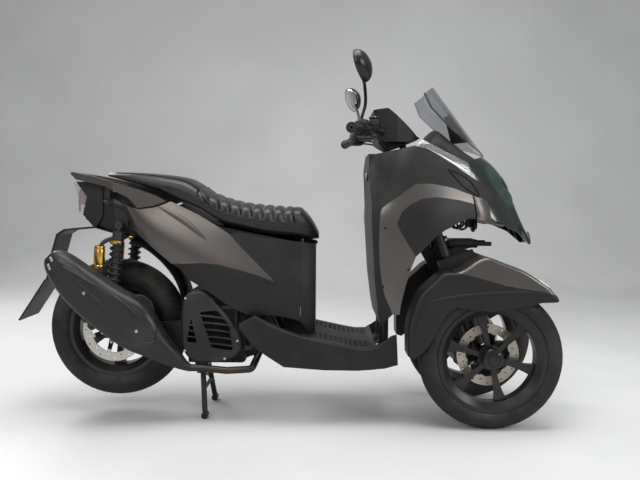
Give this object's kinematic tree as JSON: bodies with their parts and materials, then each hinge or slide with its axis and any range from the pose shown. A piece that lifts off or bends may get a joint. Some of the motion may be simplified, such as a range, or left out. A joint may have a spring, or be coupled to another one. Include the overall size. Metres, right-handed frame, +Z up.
{
  "type": "three-wheel motor scooter",
  "caption": "Leaning three-wheel motor scooter with paired front wheels, step-through floor, windscreen and under-seat luggage box, on its centre stand.",
  "frame": {"origin": "on the floor under the middle of the machine", "axes": "+X forwards, +Y to the rider's left, +Z up"},
  "size_m": [1.95, 0.8728, 1.2727],
  "materials": {
    "matte_bronze": "matte metallic bronze-grey",
    "dark_cover": "satin dark grey",
    "black_plastic": "grained black",
    "gloss_dark": "gloss dark",
    "headlamp_lens": "clear lens",
    "lamp_lens": "clear lens",
    "tail_lens": "clear lens over red",
    "smoked_screen": "smoked",
    "seat_cover": "soft vinyl",
    "frame_black": "satin black",
    "arm_grey": "satin dark grey",
    "engine_alloy": "cast grey",
    "case_alloy": "painted cast",
    "muffler_black": "heatproof dark grey",
    "shield_dark": "satin dark grey",
    "pipe_steel": "heat stained",
    "damper": "gold and black",
    "wheel_black": "satin black cast",
    "tyre_rubber": "worn tread",
    "disc_steel": "ground",
    "rubber_black": "ribbed",
    "hose_rubber": "smooth",
    "stand_black": "worn black",
    "mirror_black": "gloss black",
    "tub_plastic": "rough black"
  },
  "bodies": {
    "frame": {"frame_front": "frame_black", "frame_rear": "frame_black", "side_posts": "arm_grey", "tilt_arms": "arm_grey", "leg_shield_inner": "black_plastic", "wheel_arch_panel": "black_plastic", "leg_shield_panels": "matte_bronze", "cowl_inserts": "dark_cover", "cowl_side_panels": "black_plastic", "nose_cover": "gloss_dark", "headlight": "headlamp_lens", "position_lamps": "lamp_lens", "windscreen": "smoked_screen", "floorboard": "black_plastic", "undercover": "black_plastic", "centre_cover": "dark_cover", "luggage_tub": "tub_plastic", "side_covers": "matte_bronze", "lower_side_covers": "dark_cover", "tail_cover": "black_plastic", "grab_rail": "matte_bronze", "tail_light": "tail_lens", "rear_fender": "black_plastic", "plate_carrier": "black_plastic", "engine_block": "engine_alloy", "radiator_cover": "black_plastic", "coolant_hose": "hose_rubber", "exhaust_pipe": "pipe_steel", "muffler": "muffler_black", "muffler_shield": "shield_dark", "cvt_case": "case_alloy", "swing_arm": "frame_black", "rear_shocks": "damper", "rear_springs": "stand_black"},
    "steering": {"handlebar": "frame_black", "grips": "rubber_black", "levers": "frame_black", "handlebar_cover": "black_plastic", "mirrors": "mirror_black"},
    "tie_rod": {"tie_rod": "stand_black"},
    "left_fork": {"fork_left": "arm_grey", "front_fender_left": "dark_cover", "fender_cap_left": "matte_bronze"},
    "right_fork": {"fork_right": "arm_grey", "front_fender_right": "dark_cover", "fender_cap_right": "matte_bronze"},
    "left_front_wheel": {"front_rim_left": "wheel_black", "front_tyre_left": "tyre_rubber", "front_disc_left": "disc_steel"},
    "right_front_wheel": {"front_rim_right": "wheel_black", "front_tyre_right": "tyre_rubber", "front_disc_right": "disc_steel"},
    "rear_wheel": {"rear_rim": "wheel_black", "rear_tyre": "tyre_rubber", "rear_disc": "disc_steel"},
    "centre_stand": {"centre_stand": "stand_black"},
    "side_stand": {"side_stand": "stand_black"},
    "seat": {"seat": "seat_cover"}
  },
  "joints": [
    {"name": "steering", "type": "hinge", "parent": "frame", "child": "steering", "pos_m": [0.51254, 0, 0.77055], "axis": [-0.342, 0, 0.9397], "range_deg": [-35, 35]},
    {"name": "fork_steer_left", "type": "hinge", "parent": "frame", "child": "left_fork", "pos_m": [0.56145, 0.1, 0.63617], "axis": [-0.342, 0, 0.9397], "range_deg": [-35, 35]},
    {"name": "fork_steer_right", "type": "hinge", "parent": "frame", "child": "right_fork", "pos_m": [0.56145, -0.1, 0.63617], "axis": [-0.342, 0, 0.9397], "range_deg": [-35, 35]},
    {"name": "tie_rod_pivot", "type": "hinge", "parent": "steering", "child": "tie_rod", "pos_m": [0.58322, 0, 0.70794], "axis": [-0.342, 0, 0.9397], "range_deg": [-35, 35]},
    {"name": "front_wheel_left", "type": "hinge", "parent": "left_fork", "child": "left_front_wheel", "pos_m": [0.725, 0.1975, 0.25], "axis": [0, 1, 0], "continuous": true},
    {"name": "front_wheel_right", "type": "hinge", "parent": "right_fork", "child": "right_front_wheel", "pos_m": [0.725, -0.1975, 0.25], "axis": [0, 1, 0], "continuous": true},
    {"name": "rear_wheel_spin", "type": "hinge", "parent": "frame", "child": "rear_wheel", "pos_m": [-0.625, 0, 0.313], "axis": [0, 1, 0], "continuous": true},
    {"name": "centre_stand", "type": "hinge", "parent": "frame", "child": "centre_stand", "pos_m": [-0.303, 0, 0.17], "axis": [0, 1, 0], "range_deg": [0, 80]},
    {"name": "side_stand", "type": "hinge", "parent": "frame", "child": "side_stand", "pos_m": [-0.03, 0.14, 0.226], "axis": [0, -0.9063, -0.4226], "range_deg": [0, 100]},
    {"name": "seat", "type": "hinge", "parent": "frame", "child": "seat", "pos_m": [0.112, 0, 0.638], "axis": [0, 1, 0], "range_deg": [0, 55]}
  ],
  "couplings": [
    {"joint": "fork_steer_left", "follows": "steering", "ratio": 1},
    {"joint": "fork_steer_right", "follows": "steering", "ratio": 1},
    {"joint": "tie_rod_pivot", "follows": "steering", "ratio": -1}
  ]
}
